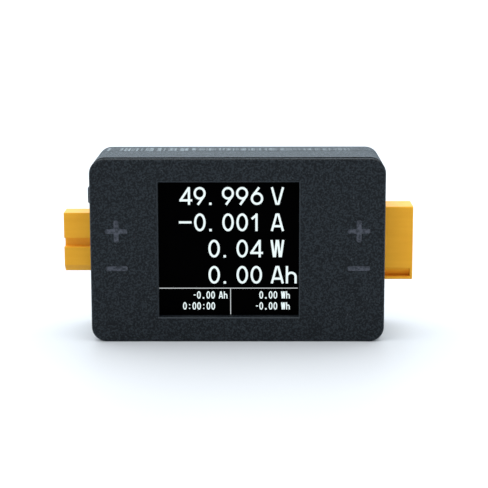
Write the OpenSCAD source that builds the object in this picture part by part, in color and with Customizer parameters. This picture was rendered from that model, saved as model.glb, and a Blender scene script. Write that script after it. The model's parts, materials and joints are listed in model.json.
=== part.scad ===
// Inline two-wire DC power meter: a palm-sized box with a colour display in its front
// face, a two-pole plug on the left, the matching two-pole socket on the right and one
// push button in the left wall.
// X is to the right, Y to the rear, Z up. The origin is the centre of the footprint, on
// the surface that the meter stands on.

/* [Case] */
// Width of the case without its connectors
case_w = 63; // [62:0.5:68]
// Depth of the case, front to rear
case_d = 21.5; // [21.5:0.5:23]
// Height of the case
case_h = 39.7; // [39.7:0.2:43.9]
// Corner radius, seen from the front
corner_r = 3.2; // [2.8:0.1:3.6]
// Rounding of the front and rear edges
edge_r = 0.4; // [0.4:0.1:0.8]
// Thickness of the side and rear walls
wall = 1.8; // [1.6:0.1:1.8]
// Thickness of the front wall
front_t = 2.2; // [2:0.1:2.4]
// Distance of each case screw from the two nearest sides
screw_inset = 4.6; // [4.6:0.1:4.8]
// Depth of the front rim, ahead of the groove that runs round the case
rim = 1; // [1:0.1:1.8]
// Width of that groove
groove = 1.9; // [1:0.1:2.4]

/* [Display] */
// Width of the window in the front wall
window_w = 30.1; // [28:0.1:31]
// Height of the window in the front wall
window_h = 29.3; // [28:0.1:30]
// Centre of the window, left or right of the case's centre
window_x = -1.9; // [-3:0.1:0]
// Height of the window's centre
window_z = 20.05; // [19.8:0.05:20.2]

/* [Connectors] */
// Length of the socket shell's outline, pole to pole
shell_w = 16.2; // [16:0.1:16.4]
// Thickness of the socket shell
shell_t = 8.1; // [8:0.05:8.2]
// Length of the plug's outline, pole to pole
plug_w = 13.2; // [13:0.05:13.2]
// Thickness of the plug
plug_t = 5.8; // [5.7:0.05:5.9]
// Distance between the two contacts
pole_pitch = 7.2; // [7.1:0.05:7.3]
// Diameter of a contact pin
pin_d = 3.5; // [3.4:0.05:3.5]
// How far each connector stands out of the case
reach = 6.8; // [6:0.1:7]

/* [Button] */
// Height of the button's centre
button_z = 31.2; // [31:0.1:31.2]
// Length of the button, bottom to top
button_l = 4.5; // [4.2:0.1:4.5]
// How far the released button stands out of the case
button_out = 0.8; // [0.5:0.05:1.1]

/* [Hidden] */
$fn = 48;

// Case
half_w = case_w / 2;
front_y = -case_d / 2;
rear_y = case_d / 2;
mid_z = case_h / 2;
inner_front_y = front_y + front_t;
inner_rear_y = rear_y - wall;
inner_x = half_w - wall;
inner_r = corner_r - wall;
fit = 0.15;               // clearance round a part that drops into an opening
cut = 1;                  // how far a cutter runs past the face that it opens
lip_t = 0.9;              // rear cover's locating lip
lip_l = 1.2;
seam = 0.3;               // gap round the case where the two shells meet
seam_depth = 0.25;
window_bevel_w = 0.25;
groove_depth = 0.4;       // groove behind the front rim

// Connectors: the shells part along the plane through the four contacts
connector_rear_gap = 2.2;
contact_y = inner_rear_y - connector_rear_gap - shell_t / 2;
split_y = contact_y;
pole_offset = pole_pitch / 2;
mouth_x = half_w + reach;
block_end_x = 20.3;       // where the connector blocks end inside the case
plug_lap = 1;             // solid length of plug that closes the opening in the wall
key_chamfer = 1.55;       // bevel that keys the negative pole
slot_w = 2;               // slot between the plug's two barrels
web_t = 3.2;
web_setback = 0.1;
tube_r = 2.18;
tube_bore_r = 1.77;
tube_floor = 7.7;         // depth of the contact tube's bore
stem_r = 1.3;
tail_r = 1;
tail_x = 18.6;
cavity_gap = 0.25;        // between the plug and the walls of a socket
cavity_depth = 8.5;
pin_setback = 1.4;
pin_tip = 0.6;            // length and inset of the pin's tapered tip
slit_w = 0.3;             // cross slit that makes the pin springy
slit_l = 5;
lip_w = 0.6;              // rim left round the socket's mouth
foot_t = 0.6;             // ledge under the socket's keyed corners
pocket = 2;

// Circuit board
board_t = 1.6;
board_rear_y = contact_y - shell_t / 2 - 0.05;
board_front_y = board_rear_y - board_t;
board_gap = 0.3;
board_r = 0.8;
bar_t = 1;
bar_w = 5;
bar_end_x = block_end_x - 0.4;
tail_stub = 0.7;

// Case screws
boss_r = 2.7;
post_r = 2.1;
screw_r = 1;
screw_l = 14;
head_r = 1.9;
head_t = 1.5;
head_sink = 3;
clear_r = 1.15;
pilot_r = screw_r + 0.03;
screw_xz = [for (x = [-1, 1], z = [0, 1])
    [x * (half_w - screw_inset), z == 0 ? screw_inset : case_h - screw_inset]];

// Display stack, front to rear
gasket_t = 0.3;
glass_t = 0.7;
frame_t = 1.4;
glass_margin = 1.3;
glass_front_y = inner_front_y + gasket_t;
glass_rear_y = glass_front_y + glass_t;
frame_rear_y = glass_rear_y + frame_t;
frame_floor = 0.3;
frame_wall = 1.2;
ledge = 0.9;              // strip of bare glass under the frame, where the flex is bonded
glass_w = window_w + 2 * glass_margin;
glass_h = window_h + 2 * glass_margin;
glass_bottom_z = window_z - glass_h / 2;
flex_t = 0.14;
flex_w = 14;
flex_x = window_x;
zif_w = 16;
zif_h = 2.6;
zif_t = 1;
zif_z = 7.6;

// Button and its switch, which sits on the front of the board
switch_size = 3.4;
switch_x = half_w - 7;    // middle of the switch
switch_face_x = switch_x + switch_size / 2;
button_y = board_front_y - switch_size / 2;
button_t = 3;
button_fit = 0.1;
button_taper = 1.3;       // how much narrower the button's outer face is
wing_l = 0.5;
wing_t = 0.55;
wing_gap = 0.05;
plunger_r = 0.75;
plunger_hole_r = 0.85;
plunger_hole = 1.05;
plunger_in = 0.7;

// Polarity marks
mark_x = 25.9;
mark_w = 4.8;
mark_t = 1.1;
mark_sink = 0.25;
mark_fill = 0.15;
plus_z = mid_z + 4.3;
minus_z = mid_z - 3.8;

// ---------- helpers ----------

// Extrudes an outline drawn in X and Z from y0 to y1
module along_y(y0, y1) translate([0, y1, 0]) rotate([90, 0, 0]) linear_extrude(y1 - y0) children();

// Extrudes an outline drawn in Y and Z from x0 to x1
module along_x(x0, x1) translate([x0, 0, 0]) rotate([90, 0, 90]) linear_extrude(x1 - x0) children();

// Round bar along Y
module rod_y(r, y0, y1, x = 0, z = 0) along_y(y0, y1) translate([x, z]) circle(r);

// Round bar along X
module rod_x(r, x0, x1, y = 0, z = 0) along_x(x0, x1) translate([y, z]) circle(r);

// Box given by its two corners
module block(low, high) translate(low) cube(high - low);

// Rectangle with round corners
module rounded_rect(w, h, r) {
    square([w, h - 2 * r], center = true);
    square([w - 2 * r, h], center = true);
    for (x = [-1, 1], y = [-1, 1]) translate([x * (w / 2 - r), y * (h / 2 - r)]) circle(r);
}

// Half section of a plate whose lower edge is rounded, w wide from the middle line
module soft_half(w, t, e) {
    square([w - e, t]);
    translate([0, e]) square([w, t - e]);
    translate([w - e, e]) circle(e);
}

// Plate with round corners, standing on its rounded face
module soft_plate(w, h, t, r, e) {
    for (x = [-1, 1], y = [-1, 1]) translate([x * (w / 2 - r), y * (h / 2 - r), 0])
        rotate_extrude() soft_half(r, t, e);
    for (side = [0, 180]) rotate([0, 0, side]) {
        translate([r - w / 2, 0, 0]) rotate([90, 0, 90]) linear_extrude(w - 2 * r) soft_half(h / 2, t, e);
        translate([0, h / 2 - r, 0]) rotate([90, 0, 0]) linear_extrude(h - 2 * r) soft_half(w / 2, t, e);
    }
}

module case_outline(shrink = 0) translate([0, mid_z])
    rounded_rect(case_w - 2 * shrink, case_h - 2 * shrink, corner_r - shrink);

module cavity_outline(shrink = 0) translate([0, mid_z])
    rounded_rect(2 * (inner_x - shrink), case_h - 2 * (wall + shrink), inner_r);

module at_screws() for (p = screw_xz) translate([p[0], 0, p[1]]) children();

// ---------- connector outlines, in Y and Z about the middle of the pair ----------

// Plug outline without its slots, grown by gap
module keyed_outline(gap = 0) {
    y = plug_t / 2 + gap;
    z = plug_w / 2 + gap;
    c = key_chamfer + 0.09 * sign(gap);
    polygon([[-y, z], [y, z], [y, c - z], [y - c, -z], [c - y, -z], [-y, c - z]]);
}

// Plug outline with the slots between its two barrels
module plug_outline() difference() {
    keyed_outline();
    for (y = [-1, 1]) translate([y * (web_t + plug_t) / 2, 0]) square([plug_t, slot_w], center = true);
}

module at_contacts() translate([contact_y, mid_z]) children();

module at_poles() for (z = [-1, 1]) translate([0, contact_y, mid_z + z * pole_offset]) children();

// Stem of a contact behind the housing, bent down into the board. side is -1 left, 1 right
module contact_stem(side, from_x) {
    rotate([0, side * 90, 0]) translate([0, 0, tail_x]) cylinder(r = stem_r, h = from_x - tail_x);
    translate([side * tail_x, 0, 0]) sphere(stem_r);
    translate([side * tail_x, 0, 0]) rotate([90, 0, 0])
        cylinder(r = tail_r, h = contact_y - board_front_y + tail_stub);
}

// ---------- case ----------

// Openings in the side walls for the plug, the socket and the button
module wall_openings() {
    along_x(-half_w - cut, -inner_x + cut) at_contacts() keyed_outline(fit);
    along_x(inner_x - cut, half_w + cut) at_contacts()
        square([shell_t, shell_w] + [2, 2] * fit, center = true);
    along_x(-half_w - cut, -inner_x + cut) translate([button_y, button_z])
        rounded_rect(button_t + 2 * button_fit, button_l + 2 * button_fit, 0.5);
}

// Room for the connector blocks, which are wider than the opening for the plug
module block_room() for (side = [0, 1]) mirror([side, 0, 0])
    block([block_end_x - cut, contact_y - shell_t / 2 - fit, mid_z - shell_w / 2 - fit],
          [inner_x, contact_y + shell_t / 2 + fit, mid_z + shell_w / 2 + fit]);

module at_window() translate([window_x, window_z]) children();

// Cutter that bevels the window's front edge
module window_bevel() hull() {
    spread = 2 * window_bevel_w;
    along_y(front_y - window_bevel_w, front_y) at_window()
        square([window_w + spread, window_h + spread], center = true);
    along_y(front_y, front_y + window_bevel_w) at_window() square([window_w, window_h], center = true);
}

module front_shell() color("#2b2f34") difference() {
    union() {
        difference() {
            translate([0, front_y, mid_z]) rotate([90, 0, 180])
                soft_plate(case_w, case_h, split_y - front_y, corner_r, edge_r);
            along_y(inner_front_y, split_y + cut) cavity_outline();
            along_y(front_y + rim, front_y + rim + groove) difference() {
                case_outline(-cut);
                case_outline(groove_depth);
            }
        }
        at_screws() rod_y(post_r, inner_front_y - 0.1, board_front_y);
    }
    along_y(front_y - cut, inner_front_y + cut) at_window() square([window_w, window_h], center = true);
    window_bevel();
    at_screws() rod_y(pilot_r, inner_front_y - 1, board_front_y + cut);
    wall_openings();
    along_y(front_y - cut, front_y + mark_sink) mark_outlines();
}

module rear_cover() color("#2b2f34") difference() {
    union() {
        difference() {
            union() {
                translate([0, rear_y, mid_z]) rotate([90, 0, 0])
                    soft_plate(case_w, case_h, rear_y - split_y - seam, corner_r, edge_r);
                along_y(split_y, split_y + seam + 0.1) case_outline(seam_depth);
            }
            along_y(split_y - cut, inner_rear_y) cavity_outline();
        }
        difference() {
            along_y(split_y - lip_l, inner_rear_y - cut) difference() {
                cavity_outline(0.1);
                cavity_outline(0.1 + lip_t);
            }
            block_room();
        }
        difference() {
            along_y(split_y, inner_rear_y - cut) difference() {
                cavity_outline(-0.1);
                cavity_outline(0.2);
            }
            block_room();
        }
        at_screws() rod_y(boss_r, board_rear_y, inner_rear_y + 0.1);
    }
    at_screws() rod_y(clear_r, board_rear_y - cut, rear_y);
    at_screws() rod_y(head_r + 0.2, rear_y - head_sink, rear_y + cut);
    wall_openings();
}

module case_screws() color("#8a8d90") at_screws() difference() {
    union() {
        rod_y(screw_r, rear_y - head_sink - screw_l, rear_y - head_sink + 0.1);
        rod_y(head_r, rear_y - head_sink, rear_y - head_sink + head_t);
    }
    for (turn = [0, 90]) rotate([0, turn, 0])
        block([-1.2, rear_y - head_sink + head_t - 0.9, -0.28], [1.2, rear_y, 0.28]);
}

module mark_outlines() for (side = [-1, 1]) {
    translate([side * mark_x, plus_z]) {
        rounded_rect(mark_w, mark_t, 0.4);
        rounded_rect(mark_t, mark_w, 0.4);
    }
    translate([side * mark_x, minus_z]) rounded_rect(mark_w, mark_t, 0.4);
}

module polarity_marks() color("#5a5d68")
    along_y(front_y + mark_sink - mark_fill, front_y + mark_sink) mark_outlines();

// ---------- button and switch ----------

// Cap in the left wall, held in by a wing above and below
module side_button() color("#25282c") {
    wing_x = -inner_x + wing_gap;
    hull() {
        along_x(-half_w, wing_x + 0.1) translate([button_y, button_z])
            rounded_rect(button_t, button_l, 0.4);
        along_x(-half_w - button_out, -half_w) translate([button_y, button_z])
            rounded_rect(button_t - button_taper, button_l - button_taper, 0.3);
    }
    along_x(wing_x, wing_x + wing_t) translate([button_y, button_z])
        square([button_t, button_l + 2 * wing_l], center = true);
}

module switch_plunger() color("#d8d2c4") rod_x(plunger_r,
    -inner_x + wing_gap + wing_t, -switch_face_x + plunger_in, button_y, button_z);

module at_switch() translate([-switch_x, button_y, button_z]) children();

// Disc on the button's axis, from x0 to x1 past the bottom of the switch's hole
module dome_seat(r, x0, x1) {
    hole_x = -switch_face_x + plunger_hole;
    rod_x(r, hole_x + x0, hole_x + x1, button_y, button_z);
}

module switch_body() color("#26282a") difference() {
    at_switch() translate([0.1, 0.15, 0])
        cube([switch_size - 0.2, switch_size - 0.3, switch_size - 0.4], center = true);
    rod_x(plunger_hole_r, -switch_face_x - cut, -switch_face_x + plunger_hole, button_y, button_z);
    dome_seat(1.2, -0.01, 0.35);
}

// Steel clip over the switch, open towards the board
module switch_cover() color("#b9bcc0") difference() {
    at_switch() cube(switch_size, center = true);
    at_switch() translate([0.1, 0.15, 0])
        cube([switch_size - 0.2, switch_size - 0.3, switch_size - 0.4], center = true);
    at_switch() translate([0.1, 0.5, 0]) cube([switch_size, switch_size, switch_size - 0.4], center = true);
    at_switch() translate([0, switch_size - 0.5, 0]) cube(switch_size + 0.1, center = true);
    rod_x(plunger_hole_r, -switch_face_x - cut, -switch_face_x + plunger_hole, button_y, button_z);
}

module switch_dome() color("#c9ccd0") difference() {
    dome_seat(1.15, 0.05, 0.3);
    dome_seat(0.95, 0.15, 0.35);
}

module switch_terminals() color("#c8c9c6") for (z = [-1, 1]) at_switch()
    translate([0, switch_size / 2 - 0.1, z * (switch_size / 2 + 0.3)]) cube([1.8, 0.2, 0.6], center = true);

// ---------- display ----------

module display_gasket() color("#141516") along_y(inner_front_y, glass_front_y) at_window() difference() {
    square([glass_w, glass_h], center = true);
    square([window_w + 0.8, window_h + 0.8], center = true);
}

module display_glass() color("#050607") along_y(glass_front_y, glass_rear_y) at_window()
    square([glass_w, glass_h], center = true);

module frame_outline(shrink) at_window() translate([0, ledge / 2])
    square([glass_w - 0.4, glass_h - 0.2 - ledge] - [2, 2] * shrink, center = true);

module display_frame() color("#e6e7e4") difference() {
    along_y(glass_rear_y, frame_rear_y) frame_outline(0);
    along_y(glass_rear_y - cut, frame_rear_y - frame_floor) frame_outline(frame_wall);
}

module light_guide() color("#f5f7f2")
    along_y(glass_rear_y + 0.15, frame_rear_y - frame_floor) frame_outline(frame_wall + 0.1);

// Ribbon from the glass's lower ledge, round under the frame and up into its connector.
// It follows a cubic Bezier curve between two straight ends, in Y and Z.
flex_y0 = glass_rear_y + flex_t / 2;
flex_y1 = board_front_y - zif_t / 2;
flex_low_z = wall + 0.9;
function bezier(p, t) = pow(1 - t, 3) * p[0] + 3 * pow(1 - t, 2) * t * p[1]
    + 3 * (1 - t) * t * t * p[2] + pow(t, 3) * p[3];
flex_curve = [
    [flex_y0, glass_bottom_z], [flex_y0, flex_low_z - 1.2],
    [flex_y1, flex_low_z - 1.2], [flex_y1, zif_z - 1.6]
];
flex_path = concat(
    [[flex_y0, glass_bottom_z + ledge - 0.1]],
    [for (i = [0:16]) bezier(flex_curve, i / 16)],
    [[flex_y1, zif_z]]
);
function unit(v) = v / norm(v);
function across(path, i) = let (
    a = path[max(i - 1, 0)],
    b = path[min(i + 1, len(path) - 1)],
    d = unit(b - a)
) [-d[1], d[0]];

module display_flex() color("#b5651d") {
    n = len(flex_path) - 1;
    along_x(flex_x - flex_w / 2, flex_x + flex_w / 2) polygon(concat(
        [for (i = [0:n]) flex_path[i] + across(flex_path, i) * flex_t / 2],
        [for (i = [n:-1:0]) flex_path[i] - across(flex_path, i) * flex_t / 2]
    ));
}

module flex_connector() color("#e9e4d6") difference() {
    block([flex_x - zif_w / 2, board_front_y - zif_t, zif_z],
          [flex_x + zif_w / 2, board_front_y, zif_z + zif_h]);
    block([flex_x - flex_w / 2 - 0.1, flex_y1 - 0.12, zif_z - cut],
          [flex_x + flex_w / 2 + 0.1, flex_y1 + 0.12, zif_z + 1.4]);
}

module display_foam() color("#3a3c3f") for (x = [-1, 1], z = [0, 1])
    translate([window_x + x * 10.5, 0, window_z - 4 + z * 14])
        block([-3.5, frame_rear_y, -3.5], [3.5, board_front_y, 3.5]);

// ---------- connectors ----------

module plug_housing() color("#f2b62c") difference() {
    union() {
        along_x(-mouth_x, -half_w + plug_lap) at_contacts() difference() {
            plug_outline();
            square([web_t + 0.2, slot_w], center = true);
        }
        along_x(-mouth_x + web_setback, -half_w + plug_lap) at_contacts()
            square([web_t, slot_w + 0.2], center = true);
        along_x(-half_w + plug_lap - 0.1, -inner_x + 0.1) at_contacts() keyed_outline();
        along_x(-inner_x + 0.05, -block_end_x) at_contacts() square([shell_t, shell_w], center = true);
    }
    at_poles() {
        rod_x(tube_r + 0.02, -mouth_x - cut, -inner_x + 0.8);
        rod_x(stem_r + 0.05, -inner_x, -block_end_x + cut);
    }
}

module plug_contacts() color("#d9a441") at_poles() difference() {
    union() {
        rod_x(tube_r, -mouth_x, -inner_x + 0.75);
        contact_stem(-1, inner_x);
    }
    rod_x(tube_bore_r, -mouth_x - cut, -mouth_x + tube_floor);
}

// Wedge cut out of each keyed corner behind the mouth's rim
module key_pockets() for (y = [-1, 1]) along_x(half_w - 0.8, mouth_x - lip_w) at_contacts()
    polygon([
        [y * (shell_t / 2 + 0.1), foot_t - shell_w / 2],
        [y * (shell_t / 2 - pocket), foot_t - shell_w / 2],
        [y * shell_t / 2, foot_t - shell_w / 2 + pocket],
        [y * (shell_t / 2 + 0.1), foot_t - shell_w / 2 + pocket]
    ]);

module socket_housing() color("#f2b62c") difference() {
    along_x(block_end_x, mouth_x) at_contacts() square([shell_t, shell_w], center = true);
    along_x(mouth_x - cavity_depth, mouth_x + cut) at_contacts() keyed_outline(cavity_gap);
    key_pockets();
    at_poles() rod_x(stem_r + 0.05, block_end_x - cut, mouth_x - cavity_depth + cut);
}

// Split pins with tapered tips
module socket_pins() color("#d9a441") at_poles() difference() {
    union() {
        rod_x(pin_d / 2, mouth_x - cavity_depth, mouth_x - pin_setback - pin_tip);
        translate([mouth_x - pin_setback - pin_tip, 0, 0]) rotate([0, 90, 0])
            cylinder(r1 = pin_d / 2, r2 = pin_d / 2 - pin_tip, h = pin_tip);
        contact_stem(1, mouth_x - cavity_depth + 0.1);
    }
    for (turn = [45, 135]) rotate([turn, 0, 0])
        block([mouth_x - pin_setback - slit_l, -pin_d, -slit_w / 2], [mouth_x, pin_d, slit_w / 2]);
}

// ---------- circuit board and its parts ----------

module main_board() color("#1f5a38") difference() {
    along_y(board_front_y, board_rear_y) translate([0, mid_z])
        rounded_rect(2 * (inner_x - board_gap), case_h - 2 * (wall + board_gap), board_r);
    at_screws() rod_y(clear_r, board_front_y - cut, board_rear_y + cut);
    for (x = [-tail_x, tail_x], z = [-1, 1])
        rod_y(tail_r + 0.1, board_front_y - cut, board_rear_y + cut, x, mid_z + z * pole_offset);
}

// Copper strip on the rear of the board, with a hole for the contact's tail at each end given
module busbar(x0, x1, z, holes) difference() {
    block([x0, board_rear_y, z - bar_w / 2], [x1, board_rear_y + bar_t, z + bar_w / 2]);
    for (x = holes) rod_y(tail_r + 0.1, board_rear_y - cut, board_rear_y + bar_t + cut, x, z);
}

module positive_busbar() color("#b8763e")
    busbar(-bar_end_x, bar_end_x, mid_z + pole_offset, [-tail_x, tail_x]);

shunt_half = 7;
module negative_busbars() color("#b8763e") {
    busbar(-bar_end_x, -shunt_half + 2.5, mid_z - pole_offset, [-tail_x]);
    busbar(shunt_half - 2.5, bar_end_x, mid_z - pole_offset, [tail_x]);
}

// Resistance strip bridging the gap between the two negative bars
module current_shunt() color("#6f6a63") {
    y = board_rear_y + bar_t;
    rise = 2.2;
    t = 0.8;
    foot = shunt_half - 2.3;
    translate([0, 0, mid_z - pole_offset - 2]) linear_extrude(4) polygon([
        [-shunt_half, y], [-foot, y], [-foot + t, y + rise - t], [foot - t, y + rise - t], [foot, y],
        [shunt_half, y], [shunt_half, y + t], [foot + t / 2, y + t], [foot - t / 2, y + rise],
        [-foot + t / 2, y + rise], [-foot - t / 2, y + t], [-shunt_half, y + t]
    ]);
}

// Solder cones round the contact tails on the front of the board
module solder_joints() color("#c9ccce") for (side = [-1, 1], z = [-1, 1]) difference() {
    translate([side * tail_x, board_front_y, mid_z + z * pole_offset]) rotate([90, 0, 0])
        cylinder(r1 = 2.1, r2 = 1.3, h = 0.6);
    rod_y(tail_r + 0.02, board_front_y - cut, board_front_y + cut, side * tail_x, mid_z + z * pole_offset);
}

// Moulded package standing off the rear of the board
module package(x, z, w, h, t) translate([x, 0, z])
    block([-w / 2, board_rear_y + 0.1, -h / 2], [w / 2, board_rear_y + 0.1 + t, h / 2]);

// Bent leads along the upper and lower sides of a package, n a side, reach long
module lead_rows(x, z, h, n, pitch, reach, lead_w = 0.3) for (side = [0, 1], i = [0:n - 1])
    translate([x + (i - (n - 1) / 2) * pitch - lead_w / 2, board_rear_y, z])
        mirror([0, 0, side]) translate([0, 0, h / 2]) rotate([90, 0, 90]) linear_extrude(lead_w) polygon([
            [0, 0.3 * reach], [0, reach], [0.12, reach], [0.12, 0.45 * reach],
            [0.6, 0.35 * reach], [0.6, 0], [0.45, 0], [0.45, 0.25 * reach]
        ]);

mcu_x = -9;
mcu_z = 8.2;
module microcontroller() color("#1b1c1e") difference() {
    package(mcu_x, mcu_z, 7, 7, 1.4);
    rod_y(0.4, board_rear_y + 1.4, board_rear_y + 2, mcu_x - 2.6, mcu_z + 2.6);
}

module microcontroller_leads() color("#c9ccce") {
    lead_rows(mcu_x, mcu_z, 7, 12, 0.5, 1, 0.22);
    translate([mcu_x, 0, mcu_z]) rotate([0, 90, 0]) lead_rows(0, 0, 7, 12, 0.5, 1, 0.22);
}

amp_x = 0.5;
amp_z = 9.5;
module current_amplifier() color("#1b1c1e") package(amp_x, amp_z, 3, 3, 0.9);
module amplifier_leads() color("#c9ccce") lead_rows(amp_x, amp_z, 3, 5, 0.5, 0.9, 0.22);

memory_x = 8;
memory_z = 8.2;
module memory_chip() color("#1b1c1e") difference() {
    package(memory_x, memory_z, 4.9, 3.9, 1.45);
    rod_y(0.35, board_rear_y + 1.4, board_rear_y + 2, memory_x - 1.7, memory_z - 1.2);
}
module memory_leads() color("#c9ccce") lead_rows(memory_x, memory_z, 3.9, 4, 1.27, 1.05, 0.42);

buck_x = 0;
upper_z = 32.4;
module buck_regulator() color("#1b1c1e") package(buck_x, upper_z, 4.9, 3.9, 1.45);
module regulator_leads() color("#c9ccce") lead_rows(buck_x, upper_z, 3.9, 4, 1.27, 1.05, 0.42);

// Drum of the inductor, with a waist for its winding
inductor_x = 8.5;
module power_inductor() color("#3b3e41") translate([inductor_x, 0, upper_z]) difference() {
    along_y(board_rear_y, board_rear_y + 3.4) rounded_rect(6.6, 6.6, 1.2);
    along_y(board_rear_y + 0.8, board_rear_y + 2.6) difference() {
        square(8, center = true);
        circle(1.9);
    }
}

module inductor_winding() color("#c0703a") translate([inductor_x, 0, upper_z])
    for (row = [0:2], layer = [0:1])
        translate([0, board_rear_y + 1.15 + row * 0.55, 0]) rotate([90, 0, 0])
            rotate_extrude() translate([2.25 + layer * 0.56, 0]) circle(0.26);

diode_x = -16.4;
module rectifier_diode() color("#1b1c1e") package(diode_x, upper_z, 4.3, 2.6, 2);
module diode_terminals() color("#c9ccce") translate([diode_x, 0, upper_z]) for (side = [0, 1])
    mirror([side, 0, 0]) translate([0, board_rear_y, -0.75]) linear_extrude(1.5) polygon([
        [1.5, 0], [2.6, 0], [2.6, 1.2], [2.15, 1.2], [2.15, 1.05], [2.4, 1.05], [2.4, 0.1], [1.5, 0.1]
    ]);

capacitor_x = [-9, 16.6];
module bulk_capacitors() color("#c4c7ca") for (x = capacitor_x) translate([x, 0, upper_z]) {
    rod_y(2.5, board_rear_y + 0.9, board_rear_y + 5.2);
}
module capacitor_bases() color("#2a2b2d") for (x = capacitor_x) translate([x, 0, upper_z])
    along_y(board_rear_y, board_rear_y + 0.9) polygon([
        [-2.65, -2.65], [2.65, -2.65], [2.65, 1.6], [1.6, 2.65], [-1.6, 2.65], [-2.65, 1.6]
    ]);

module quartz_crystal() color("#c4c7ca") translate([-16.6, 0, 8.2])
    along_y(board_rear_y, board_rear_y + 1) rounded_rect(5, 3.2, 0.5);

// Rows of chip parts on the rear of the board: [x, z] of the first, and how many
resistor_rows = [[-14, 2.9, 3], [4.5, 4.2, 4], [-5, 12.4, 2], [11.5, 12, 3], [-5.2, 36.2, 4]];
capacitor_rows = [[-5.2, 28.4, 3], [14.5, 7.5, 3], [3.8, 28.4, 5], [-18, 28.4, 3], [14.5, 5.2, 3]];
chip_l = 1;
chip_w = 1.5;
chip_pitch = 2.2;
module chip_rows(rows, t) for (row = rows, i = [0:row[2] - 1])
    translate([row[0] + i * chip_pitch, board_rear_y, row[1]])
        block([-chip_w / 2, 0, -chip_l / 2], [chip_w / 2, t, chip_l / 2]);
module chip_resistors() color("#1e1f22") chip_rows(resistor_rows, 0.5);
module chip_capacitors() color("#b79a72") chip_rows(capacitor_rows, 0.8);

front_shell();
rear_cover();
case_screws();
polarity_marks();
side_button();
switch_plunger();
switch_body();
switch_cover();
switch_dome();
switch_terminals();
display_gasket();
display_glass();
display_frame();
light_guide();
display_flex();
flex_connector();
display_foam();
plug_housing();
plug_contacts();
socket_housing();
socket_pins();
main_board();
positive_busbar();
negative_busbars();
current_shunt();
solder_joints();
microcontroller();
microcontroller_leads();
current_amplifier();
amplifier_leads();
memory_chip();
memory_leads();
buck_regulator();
regulator_leads();
power_inductor();
inductor_winding();
rectifier_diode();
diode_terminals();
bulk_capacitors();
capacitor_bases();
quartz_crystal();
chip_resistors();
chip_capacitors();
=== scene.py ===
"""Looks of the inline DC power meter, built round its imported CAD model."""
import json
import math

import bmesh
import bpy
from mathutils import Euler, Matrix, Vector


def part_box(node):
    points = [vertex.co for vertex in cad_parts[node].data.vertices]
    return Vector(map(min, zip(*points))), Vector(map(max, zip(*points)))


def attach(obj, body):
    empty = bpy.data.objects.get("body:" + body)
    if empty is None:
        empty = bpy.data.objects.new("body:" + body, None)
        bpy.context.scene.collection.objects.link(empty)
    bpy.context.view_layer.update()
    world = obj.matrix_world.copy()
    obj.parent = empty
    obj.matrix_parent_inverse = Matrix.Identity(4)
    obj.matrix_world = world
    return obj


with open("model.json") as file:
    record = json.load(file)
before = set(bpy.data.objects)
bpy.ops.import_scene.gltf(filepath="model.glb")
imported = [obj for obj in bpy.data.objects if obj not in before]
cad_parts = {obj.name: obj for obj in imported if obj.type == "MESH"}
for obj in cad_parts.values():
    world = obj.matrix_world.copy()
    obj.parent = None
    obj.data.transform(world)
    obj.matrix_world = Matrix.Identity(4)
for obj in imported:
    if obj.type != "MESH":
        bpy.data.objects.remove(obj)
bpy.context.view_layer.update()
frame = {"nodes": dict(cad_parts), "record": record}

MM = 0.001
scene = bpy.context.scene
slot_of = {part["node"]: part["material_slot"] for part in frame["record"]["subparts"]}
case_low, case_high = (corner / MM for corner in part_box("front_shell"))
glass_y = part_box("display_glass")[0].y / MM


# ---------------------------------------------------------------- materials

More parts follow.
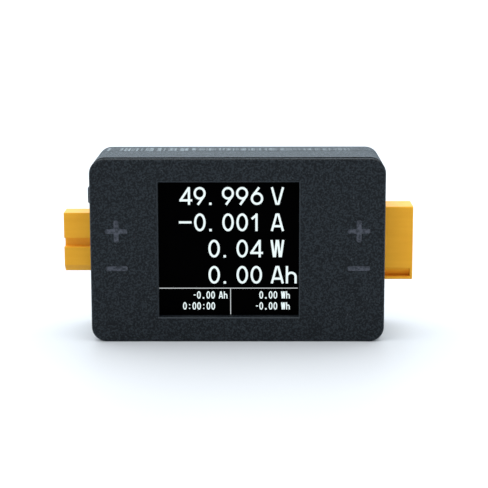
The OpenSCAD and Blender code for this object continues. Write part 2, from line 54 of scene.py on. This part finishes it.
class Graph:
    """A material's node tree. Lengths are in millimetres of the object."""

    def __init__(self, name):
        self.material = bpy.data.materials.new(name)
        self.material.use_nodes = True
        self.tree = self.material.node_tree
        self.shader = self.tree.nodes["Principled BSDF"]
        place = self.tree.nodes.new("ShaderNodeTexCoord")
        scale = self.tree.nodes.new("ShaderNodeVectorMath")
        scale.operation = "SCALE"
        scale.inputs["Scale"].default_value = 1 / MM
        self.link(place.outputs["Object"], scale.inputs[0])
        self.place = scale.outputs[0]
        self.facing = place.outputs["Normal"]

    def link(self, source, socket):
        self.tree.links.new(source, socket)

    def set(self, **values):
        """Sets the shader's own sockets, named with _ for a space."""
        for key, value in values.items():
            socket = self.shader.inputs[key.replace("_", " ")]
            socket.default_value = (*value, 1) if socket.type == "RGBA" else value

    def stretched(self, x, y, z):
        """The place with each axis stretched, for brushed and drawn grain."""
        node = self.tree.nodes.new("ShaderNodeVectorMath")
        node.operation = "MULTIPLY"
        self.link(self.place, node.inputs[0])
        node.inputs[1].default_value = (1 / x, 1 / y, 1 / z)
        return node.outputs[0]

    def noise(self, size, detail=2, rough=0.5, place=None):
        node = self.tree.nodes.new("ShaderNodeTexNoise")
        self.link(place or self.place, node.inputs["Vector"])
        node.inputs["Scale"].default_value = 1 / size
        node.inputs["Detail"].default_value = detail
        node.inputs["Roughness"].default_value = rough
        return node.outputs["Fac"]

    def cells(self, size):
        node = self.tree.nodes.new("ShaderNodeTexVoronoi")
        self.link(self.place, node.inputs["Vector"])
        node.inputs["Scale"].default_value = 1 / size
        return node.outputs["Distance"]

    def remap(self, value, low, high, to_low=0, to_high=1):
        node = self.tree.nodes.new("ShaderNodeMapRange")
        self.link(value, node.inputs["Value"])
        node.inputs["From Min"].default_value = low
        node.inputs["From Max"].default_value = high
        node.inputs["To Min"].default_value = to_low
        node.inputs["To Max"].default_value = to_high
        return node.outputs["Result"]

    def math(self, kind, a, b=0):
        node = self.tree.nodes.new("ShaderNodeMath")
        node.operation = kind
        for socket, value in zip(node.inputs, (a, b)):
            if isinstance(value, (int, float)):
                socket.default_value = value
            else:
                self.link(value, socket)
        return node.outputs[0]

    def product(self, first, *others):
        for other in others:
            first = self.math("MULTIPLY", first, other)
        return first

    def mix(self, share, a, b):
        """Colour a where share is 0, b where it is 1."""
        node = self.tree.nodes.new("ShaderNodeMix")
        node.data_type = "RGBA"
        self.link(share, node.inputs[0])
        # The node's colour sockets are its inputs 6 and 7 and its output 2
        for socket, value in ((node.inputs[6], a), (node.inputs[7], b)):
            if isinstance(value, tuple):
                socket.default_value = (*value, 1)
            else:
                self.link(value, socket)
        return node.outputs[2]

    def split(self, vector):
        """The vector's x, y and z."""
        node = self.tree.nodes.new("ShaderNodeSeparateXYZ")
        self.link(vector, node.inputs[0])
        return node.outputs

    def rims(self):
        """Share of an edge where a face that looks forwards or backwards rolls over into a side."""
        lean = self.math("ABSOLUTE", self.split(self.facing)["Y"])
        return self.product(self.remap(lean, 0.15, 0.4), self.remap(lean, 0.96, 0.85))

    def bump(self, *layers):
        """Layers of (height, depth in millimetres), summed."""
        total = None
        for height, depth in layers:
            part = self.math("MULTIPLY", height, depth)
            total = part if total is None else self.math("ADD", total, part)
        node = self.tree.nodes.new("ShaderNodeBump")
        node.inputs["Strength"].default_value = 1
        node.inputs["Distance"].default_value = MM
        self.link(total, node.inputs["Height"])
        self.link(node.outputs["Normal"], self.shader.inputs["Normal"])

    def finish(self, colour, rough):
        self.link(colour, self.shader.inputs["Base Color"])
        self.link(rough, self.shader.inputs["Roughness"])
        return self.material


# The case's skin, with lengths in millimetres
GRAIN = 0.38                          # size of the spark texture's pebbles
WEAR_AND_HIGHLIGHT_STOP = 2                         # how far below the top the rims' smoother finish and painted highlight stop
SHADED_LIP_DEEP, SHADED_LIP_TALL = 1.2, 0.7         # a strip along the top's front edge, made duller and darkened with painted shade
PRINT_MIDDLE, PRINT_HALF = -2, 27     # the row of strokes: its middle and half its length
PRINT_FROM = (1.0, 2.5)               # the nearest that a stroke starts, at the left end and to its right
PRINT_TO = 7.7                        # where every stroke ends
PRINT_DEEP = 0.15                     # how far below the top the ink can lie
PRINT_INK = (0.210, 0.250, 0.268)


def case_skin(name, printed=False):
    """Spark-textured dark nylon: pebbled grain, faint painted glints of glass fibre, smoother rims with a
    painted highlight, painted shade along the top's front.
    """
    g = Graph(name)
    pebble = g.noise(GRAIN, rough=0.6)
    fine = g.noise(0.2, detail=1)
    cloud = g.noise(9)
    # Painted glints: lighter specks in the colour stand in for the sparkle of glass fibre
    painted_glint = g.remap(g.noise(0.34, detail=0), 0.78, 0.86)
    dark = g.mix(cloud, (0.0006, 0.0012, 0.0026), (0.0016, 0.0026, 0.0040))
    body = g.mix(g.remap(pebble, 0.46, 0.58), dark, (0.0160, 0.0212, 0.0262))
    body = g.mix(painted_glint, body, (0.040, 0.046, 0.052))
    if printed:
        body = g.mix(print_bars(g), body, PRINT_INK)
    _, y, z = g.split(g.place)
    # The rims get a lower roughness, which is real polish, and a lighter colour, which is a painted
    # highlight
    worn = g.product(g.rims(), g.math("LESS_THAN", z, case_high.z - WEAR_AND_HIGHLIGHT_STOP))
    body = g.mix(worn, body, (0.030, 0.036, 0.042))
    in_front = g.math("LESS_THAN", y, case_low.y + SHADED_LIP_DEEP)
    at_top = g.math("GREATER_THAN", z, case_high.z - SHADED_LIP_TALL)
    upward = g.remap(g.split(g.facing)["Z"], 0.2, 0.7)
    # Painted shade: the upward strip along the top's front edge is darkened as if in shadow; its extra
    # roughness is real
    shaded_lip = g.product(in_front, at_top, upward)
    body = g.mix(g.product(shaded_lip, 0.5), body, (0.0010, 0.0016, 0.0026))
    rough = g.math("SUBTRACT", g.remap(pebble, 0.3, 0.7, 0.56, 0.40), g.product(worn, 0.12))
    rough = g.math("ADD", rough, g.product(shaded_lip, 0.13))
    g.bump((pebble, 0.26), (fine, 0.05))
    g.set(Specular_IOR_Level=0.24, Specular_Tint=(0.84, 0.93, 1.0))
    return g.finish(body, rough)


def print_bars(g):
    """Share of ink for one row of worn plain strokes on the top of the case, in place of its print."""
    x, y, z = g.split(g.place)
    line = g.tree.nodes.new("ShaderNodeCombineXYZ")
    g.link(x, line.inputs["X"])
    along = line.outputs[0]
    strokes = g.remap(g.noise(0.85, detail=1, place=along), 0.46, 0.54)
    words = g.remap(g.noise(5, detail=1, place=along), 0.36, 0.41)
    nearest = g.remap(x, -16, -10, *PRINT_FROM)
    start = g.math("ADD", nearest, g.product(g.noise(1.6, detail=1, place=along), 1.8))
    in_row = g.product(g.math("GREATER_THAN", y, start), g.math("LESS_THAN", y, PRINT_TO))
    off_middle = g.math("ABSOLUTE", g.math("SUBTRACT", x, PRINT_MIDDLE))
    inside = g.math("LESS_THAN", off_middle, PRINT_HALF)
    on_top = g.math("GREATER_THAN", z, case_high.z - PRINT_DEEP)
    worn = g.remap(g.noise(0.7), 0.30, 0.55)
    # The ink's share falls from the left end of the row towards the right
    thins_to_right = g.remap(x, -22, 22, 1.0, 0.45)
    return g.product(strokes, words, in_row, worn, thins_to_right, on_top, inside)


def mark_fill(name):
    """Matt pale ink pressed into the marks; the case's grain shows through it."""
    g = Graph(name)
    pebble = g.noise(GRAIN, rough=0.6)
    worn = g.remap(g.noise(0.55), 0.34, 0.60)
    ink = g.mix(worn, (0.022, 0.027, 0.036), (0.070, 0.078, 0.100))
    g.bump((pebble, 0.12))
    g.set(Specular_IOR_Level=0.3)
    return g.finish(ink, g.remap(pebble, 0.3, 0.7, 0.75, 0.6))


def connector_nylon(name):
    """Satin golden nylon with faint flow streaks from the mould."""
    g = Graph(name)
    flow = g.noise(1.5, detail=3, place=g.stretched(6, 1, 1))
    skin = g.noise(0.25)
    colour = g.mix(g.remap(flow, 0.3, 0.7), (0.92, 0.430, 0.028), (0.98, 0.480, 0.036))
    g.bump((skin, 0.012), (flow, 0.02))
    g.set(Specular_IOR_Level=0.12, Subsurface_Weight=0.05, Subsurface_Scale=1.2 * MM,
          Subsurface_Radius=(1.0, 0.45, 0.1))
    return g.finish(colour, g.remap(skin, 0.3, 0.7, 0.36, 0.48))


def contact_gold(name):
    """Gold plate over turned brass, with fine turning rings along the pin."""
    g = Graph(name)
    rings = g.noise(0.1, place=g.stretched(1, 40, 40))
    wipe = g.noise(0.8, detail=3)
    colour = g.mix(g.remap(wipe, 0.35, 0.7), (0.93, 0.62, 0.22), (0.80, 0.50, 0.17))
    g.bump((rings, 0.006))
    g.set(Metallic=1.0)
    return g.finish(colour, g.remap(wipe, 0.3, 0.7, 0.16, 0.3))


def metal(light, dark, low, high, grain=(1, 1, 1)):
    """Bare or plated metal of low to high roughness. grain draws its streaks out along x, y and z."""
    def build(name):
        g = Graph(name)
        streak = g.noise(0.3, detail=3, place=g.stretched(*grain))
        stain = g.noise(2.5, detail=3)
        g.bump((streak, 0.008))
        g.set(Metallic=1.0)
        colour = g.mix(g.remap(stain, 0.3, 0.7), light, dark)
        return g.finish(colour, g.remap(streak, 0.3, 0.7, low, high))
    return build


def moulding(light, dark, low=0.5, high=0.7, size=0.35, depth=0.02):
    """Moulded plastic, film, foam or ceramic of low to high roughness: mottled, with a fine skin."""
    def build(name):
        g = Graph(name)
        skin = g.noise(size, detail=3)
        cloud = g.noise(size * 8)
        g.bump((skin, depth))
        colour = g.mix(g.remap(cloud, 0.3, 0.7), light, dark)
        return g.finish(colour, g.remap(skin, 0.3, 0.7, low, high))
    return build


def screen_glass(name):
    """Bonded cover glass over an unlit panel: near black, with hardly any sheen."""
    g = Graph(name)
    smear = g.noise(5, detail=3)
    colour = g.mix(g.remap(smear, 0.3, 0.7), (0.0003, 0.0003, 0.0004), (0.0005, 0.0005, 0.0006))
    g.set(Specular_IOR_Level=0.003)
    return g.finish(colour, g.remap(smear, 0.35, 0.7, 0.06, 0.14))


def board_laminate(name):
    """Green solder mask: weave of the laminate below and faint copper tracks."""
    g = Graph(name)
    weave = g.product(g.cells(0.9), g.noise(0.5))
    tracks = g.remap(g.noise(1.4, detail=0, place=g.stretched(5, 1, 1)), 0.52, 0.54)
    colour = g.mix(tracks, (0.010, 0.085, 0.035), (0.018, 0.125, 0.048))
    g.bump((tracks, 0.03), (weave, 0.01))
    g.set(Specular_IOR_Level=0.6)
    return g.finish(colour, g.remap(weave, 0, 0.6, 0.22, 0.38))


def lit(colour, strength):
    """Pixels of the screen that are on; the backlight is a little uneven."""
    def build(name):
        g = Graph(name)
        uneven = g.noise(4, detail=1)
        shade = tuple(0.93 * c for c in colour)
        g.link(g.mix(uneven, shade, colour), g.shader.inputs["Emission Color"])
        g.set(Emission_Strength=strength, Specular_IOR_Level=0.0)
        panel = g.mix(uneven, (0.02, 0.02, 0.02), (0.03, 0.03, 0.03))
        return g.finish(panel, g.remap(uneven, 0, 1, 0.4, 0.5))
    return build


MAKERS = {
    "case_plastic": case_skin,
    "case_printed": lambda name: case_skin(name, printed=True),
    "mark_fill": mark_fill,
    "connector_nylon": connector_nylon,
    "contact_gold": contact_gold,
    "screw_steel": metal((0.34, 0.35, 0.37), (0.22, 0.225, 0.24), 0.25, 0.42),
    "tinned_metal": metal((0.74, 0.74, 0.73), (0.56, 0.56, 0.56), 0.2, 0.36),
    "switch_plastic": moulding((0.62, 0.57, 0.47), (0.54, 0.5, 0.41)),
    "black_moulding": moulding((0.018, 0.018, 0.019), (0.028, 0.028, 0.03), 0.45, 0.65, 0.18),
    "foam": moulding((0.02, 0.02, 0.022), (0.035, 0.035, 0.037), 0.85, 0.95, 0.12, 0.06),
    "screen_glass": screen_glass,
    "white_plastic": moulding((0.78, 0.77, 0.73), (0.7, 0.69, 0.66), 0.35, 0.5),
    "light_plate": moulding((0.85, 0.87, 0.85), (0.78, 0.8, 0.78), 0.08, 0.2, 0.5, 0.004),
    "flex_film": moulding((0.42, 0.17, 0.02), (0.34, 0.13, 0.015), 0.2, 0.35),
    "board_laminate": board_laminate,
    "copper": metal((0.80, 0.40, 0.23), (0.62, 0.27, 0.14), 0.25, 0.45, (20, 1, 1)),
    "shunt_alloy": metal((0.36, 0.32, 0.28), (0.25, 0.22, 0.2), 0.3, 0.5, (12, 1, 1)),
    "ferrite": moulding((0.04, 0.041, 0.044), (0.065, 0.066, 0.07), 0.55, 0.75, 0.15),
    "capacitor_can": metal((0.78, 0.79, 0.8), (0.66, 0.67, 0.69), 0.18, 0.34, (1, 20, 1)),
    "chip_ceramic": moulding((0.36, 0.24, 0.12), (0.3, 0.19, 0.09), 0.4, 0.55, 0.12),
    "reading": lit((0.87, 0.99, 0.995), 1.0),
    "rule": lit((0.72, 0.76, 0.77), 0.85),
}
made = {}


def material(name):
    if name not in made:
        made[name] = MAKERS[name](name)
    return made[name]


# ---------------------------------------------------------------- CAD nodes

# Width in millimetres of the rounding put on a node's sharp edges; the nodes not listed stay sharp
ROUNDING = {
    "front_shell": 0.16,
    "rear_cover": 0.16,
    "side_button": 0.2,
    "polarity_marks": 0.05,
    "plug_housing": 0.22,
    "socket_housing": 0.22,
    "plug_contacts": 0.08,
    "socket_pins": 0.06,
    "case_screws": 0.08,
    "main_board": 0.1,
    "display_glass": 0.08,
}
SHARP = math.radians(32)              # edges that turn more than this are rounded
FLAT = math.radians(0.6)              # triangles that turn less than this are joined
WELD = 0.0005 * MM                    # points closer than this are one


def rounded(obj, width):
    """Joins the mesh's coplanar triangles, rounds its sharp edges and smooths the rest."""
    obj.data.polygons.foreach_set("use_smooth", [True] * len(obj.data.polygons))
    weld = obj.modifiers.new("weld", "WELD")
    weld.merge_threshold = WELD
    flat = obj.modifiers.new("flat", "DECIMATE")
    flat.decimate_type = "DISSOLVE"
    flat.angle_limit = FLAT
    bevel = obj.modifiers.new("round", "BEVEL")
    bevel.width = width * MM
    bevel.segments = 3
    bevel.limit_method = "ANGLE"
    bevel.angle_limit = SHARP
    normals = obj.modifiers.new("normals", "WEIGHTED_NORMAL")
    normals.keep_sharp = True
    normals.weight = 80


# Nodes whose look differs from the rest of their slot
OWN_LOOK = {"rear_cover": "case_printed"}

for node, obj in frame["nodes"].items():
    obj.data.materials.clear()
    obj.data.materials.append(material(OWN_LOOK.get(node, slot_of[node])))
    if node in ROUNDING:
        rounded(obj, ROUNDING[node])


# ---------------------------------------------------------------- drawn pieces

def new_piece(name, bm, material_name):
    mesh = bpy.data.meshes.new(name)
    bm.to_mesh(mesh)
    bm.free()
    obj = bpy.data.objects.new(name, mesh)
    scene.collection.objects.link(obj)
    mesh.materials.append(material(material_name))
    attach(obj, "case")
    return obj


TINY = 1e-9               # two points closer than this have no direction between them
MITRE = 0.5               # the least cosine for which a corner of a strip is drawn out to its point


def ribbon(bm, points, width, closed, place):
    """Watertight strip of a given width along points in a plane. Its ends meet where closed is true.
    place turns (u, v, side) into a corner, with side 0 on the strip's face and 1 on its back."""
    count = len(points)
    rings = []
    for i, point in enumerate(points):
        before = points[i - 1] if closed or i else point
        after = points[(i + 1) % count] if closed or i < count - 1 else point
        a, b = point - before, after - point
        a = a.normalized() if a.length > TINY else b.normalized()
        b = b.normalized() if b.length > TINY else a
        along = (a + b).normalized()
        reach = width / 2 / max(along.dot(a), MITRE)
        out = Vector((-along.y, along.x)) * reach
        rings.append([bm.verts.new(place(*(point + out * s), side))
                      for s, side in ((1, 0), (-1, 0), (-1, 1), (1, 1))])
    for i in range(count if closed else count - 1):
        low, high = rings[i], rings[(i + 1) % count]
        for j in range(4):
            bm.faces.new((low[j], low[(j + 1) % 4], high[(j + 1) % 4], high[j]))
    if not closed:
        bm.faces.new(rings[0][::-1])
        bm.faces.new(rings[-1])


RING_STEPS, BOW_STEPS = 28, 10


def ring(u, v, ru, rv):
    angles = [t * math.tau / RING_STEPS for t in range(RING_STEPS)]
    return [(u + ru * math.cos(t), v + rv * math.sin(t)) for t in angles]


def bow(u, v, ru, rv, start, stop):
    """Part of a ring, from start to stop in degrees."""
    angles = [math.radians(start + (stop - start) * t / BOW_STEPS) for t in range(BOW_STEPS + 1)]
    return [(u + ru * math.cos(t), v + rv * math.sin(t)) for t in angles]


# Strokes of each sign. The middles of a plain digit's outer strokes are -1 and 1 across, 0 and 1 up.
OPEN, CLOSED = False, True
SIGNS = {
    "0": [(ring(0, 0.5, 1, 0.5), CLOSED)],
    "1": [([(0.05, -0.06), (0.05, 1.06)], OPEN), ([(-0.98, 0.71), (0.05, 0.97)], OPEN)],
    "4": [([(0.74, -0.06), (0.74, 1.06)], OPEN), ([(0.67, 1.0), (-1.0, 0.27)], OPEN),
          ([(-1.32, 0.22), (1.45, 0.22)], OPEN)],
    "6": [(ring(0.16, 0.33, 1.1, 0.33), CLOSED), ([(-0.86, 0.48), (0.62, 1.04)], OPEN)],
    "9": [(ring(0, 0.67, 1.06, 0.33), CLOSED), ([(0.98, 0.52), (-0.42, -0.06)], OPEN)],
    "A": [([(-1.2, -0.06), (-0.16, 1.05)], OPEN), ([(1.2, -0.06), (0.16, 1.05)], OPEN),
          ([(-0.16, 1.0), (0.16, 1.0)], OPEN), ([(-0.8, 0.25), (0.8, 0.25)], OPEN)],
    "V": [([(-1.2, 1.05), (-0.18, -0.05)], OPEN), ([(1.2, 1.05), (0.18, -0.05)], OPEN),
          ([(-0.18, 0.0), (0.18, 0.0)], OPEN)],
    "W": [([(-1.26, 1.05), (-0.72, -0.05)], OPEN), ([(1.26, 1.05), (0.72, -0.05)], OPEN),
          ([(-0.1, 1.05), (-0.55, -0.05)], OPEN), ([(0.1, 1.05), (0.55, -0.05)], OPEN)],
    "h": [([(-0.96, -0.06), (-0.96, 1.06)], OPEN),
          ([(-0.96, 0.38), *bow(-0.02, 0.38, 0.94, 0.25, 180, 0), (0.92, -0.06)], OPEN)],
    "-": [([(-1.48, 0.5), (1.26, 0.5)], OPEN)],
    "~": [([(-0.3, 0.5), (1.1, 0.5)], OPEN)],
}
# Square dots of each sign: their side as a multiple of the stroke, and their places as above
DOTS = {
    ".": (1.08, [(-0.75, 0.0)]),
    ",": (1.5, [(-0.05, 0.0)]),
    ":": (1.08, [(0, 0.12), (0, 0.68)]),
}
NO_DOTS = (0, [])
SIGN_W = 0.82             # width of a plain digit over its outer strokes, as a share of its cell
INK_FRONT = 0.012         # how far lit pixels stand off the glass, so that they show


def on_glass(x, z, side):
    """Half of a strip's thickness stands off the glass, and half is sunk in it."""
    return (x * MM, (glass_y - INK_FRONT + side * 2 * INK_FRONT) * MM, z * MM)


def write(bm, text, last_x, base_z, cell, height, stroke, space):
    """Draws text so that its last sign is centred on last_x. A space is that share of a cell wide.
    In small text , is a point in the middle of its cell and ~ a short minus."""
    half_w, tall = (cell * SIGN_W - stroke) / 2, height - stroke

    def spot(x, u, v):
        return Vector((x + u * half_w, base_z + stroke / 2 + v * tall))

    x = last_x + cell
    for sign in reversed(text):
        x -= cell * space if sign == " " else cell
        for points, closed in SIGNS.get(sign, []):
            ribbon(bm, [spot(x, u, v) for u, v in points], stroke, closed, on_glass)
        share, places = DOTS.get(sign, NO_DOTS)
        side = stroke * share
        for u, v in places:
            centre = spot(x, u, v) + Vector((0, (side - stroke) / 2))
            ends = [centre + Vector((0, s * side / 2)) for s in (-1, 1)]
            ribbon(bm, ends, side, OPEN, on_glass)


def merged(obj):
    """Unites the overlapping strokes into one clean surface."""
    bpy.context.view_layer.objects.active = obj
    for other in bpy.context.selected_objects:
        other.select_set(False)
    obj.select_set(True)
    bpy.ops.object.mode_set(mode="EDIT")
    bpy.ops.mesh.select_all(action="SELECT")
    bpy.ops.mesh.normals_make_consistent(inside=False)
    bpy.ops.mesh.intersect_boolean(operation="UNION", use_self=True, solver="EXACT")
    bpy.ops.object.mode_set(mode="OBJECT")


# Large rows: text, and the height of their foot. Their last digit is centred on DIGIT_X.
ROWS = [("49.996 V", 29.47), ("-0.001 A", 23.75), ("0.04 W", 18.02), ("0.00 Ah", 12.27)]
DIGIT_X = 3.99
CELL, TALL, STROKE, SPACE = 3.024, 3.9, 0.49, 0.5

# Small rows: text, the middle of their last sign and the height of their foot
SMALL_ROWS = [
    ("~0,00 Ah", -2.64, 8.94),
    ("0:00:00", -5.35, 6.51),
    ("0,00 Wh", 10.84, 8.94),
    ("~0,00 Wh", 10.84, 6.51),
]
SMALL_CELL, SMALL_TALL, SMALL_STROKE, SMALL_SPACE = 1.02, 1.66, 0.23, 0.68

# Two thin rules: one lies above the small rows, and one stands between them
RULE_Z, RULE_FROM, RULE_TO = 11.27, -17.1, 12.95
RULE_X, RULE_FOOT = -1.57, 5.5
RULE_T = 0.16

bm = bmesh.new()
for text, base_z in ROWS:
    unit = text.split(" ")[1]
    write(bm, text, DIGIT_X + (len(unit) + SPACE) * CELL, base_z, CELL, TALL, STROKE, SPACE)
for text, last_x, base_z in SMALL_ROWS:
    write(bm, text, last_x, base_z, SMALL_CELL, SMALL_TALL, SMALL_STROKE, SMALL_SPACE)
merged(new_piece("screen_reading", bm, "reading"))

bm = bmesh.new()
ribbon(bm, [Vector((RULE_FROM, RULE_Z)), Vector((RULE_TO, RULE_Z))], RULE_T, OPEN, on_glass)
ribbon(bm, [Vector((RULE_X, RULE_FOOT)), Vector((RULE_X, RULE_Z))], RULE_T, OPEN, on_glass)
merged(new_piece("screen_rules", bm, "rule"))


# ---------------------------------------------------------------- stage

FLOOR_SIZE = 8


def floor_material():
    g = Graph("floor")
    grain = g.noise(40)
    g.set(Specular_IOR_Level=0.35)
    colour = g.mix(grain, (0.56, 0.582, 0.61), (0.58, 0.602, 0.63))
    return g.finish(colour, g.remap(grain, 0, 1, 0.5, 0.56))


bpy.ops.mesh.primitive_plane_add(size=FLOOR_SIZE)
floor = bpy.context.object
floor.name = "floor"
floor.data.materials.append(floor_material())


def lamp(name, kind, power, place, target):
    """A light that looks from place to target. Returns its data, for what only its kind has."""
    data = bpy.data.lights.new(name, kind)
    data.energy = power
    obj = bpy.data.objects.new(name, data)
    scene.collection.objects.link(obj)
    obj.location = place
    obj.rotation_euler = (Vector(target) - Vector(place)).to_track_quat("-Z", "Y").to_euler()
    return data


# A wide key light from overhead and a little behind, and a cool panel that puts a sheen on the top
key = lamp("key", "SUN", 4.6, (0, 0, 0), (0.08, -0.2, -0.98))
key.angle = math.radians(115)
rear_panel = lamp("rear_panel", "AREA", 4.8, (0, 1.3, 0.5), (0, 0, 0.1))
rear_panel.shape = "RECTANGLE"
rear_panel.size, rear_panel.size_y = 2.4, 0.7
rear_panel.color = (0.38, 0.72, 1.0)

world = bpy.data.worlds.new("studio")
scene.world = world
world.use_nodes = True
sky = world.node_tree.nodes["Background"].inputs
sky["Color"].default_value = (0.9, 0.96, 1.0, 1)
sky["Strength"].default_value = 0.5
scene.view_settings.view_transform = "Standard"

# The photograph's viewing angle: where the camera stands in metres, and how it is turned in degrees
CAMERA_PLACE = (0.00418, -0.34642, 0.08432)
LOOKS_DOWN, TURNS_LEFT, ROLL = 10.61, 0.479, -0.129

camera_data = bpy.data.cameras.new("camera")
camera_data.lens = 118.1
camera_data.sensor_width = 36
camera = bpy.data.objects.new("camera", camera_data)
scene.collection.objects.link(camera)
camera.location = CAMERA_PLACE
level = Euler((math.radians(90 - LOOKS_DOWN), 0, math.radians(TURNS_LEFT))).to_matrix()
camera.rotation_euler = (level @ Matrix.Rotation(math.radians(ROLL), 3, "Z")).to_euler()
scene.camera = camera
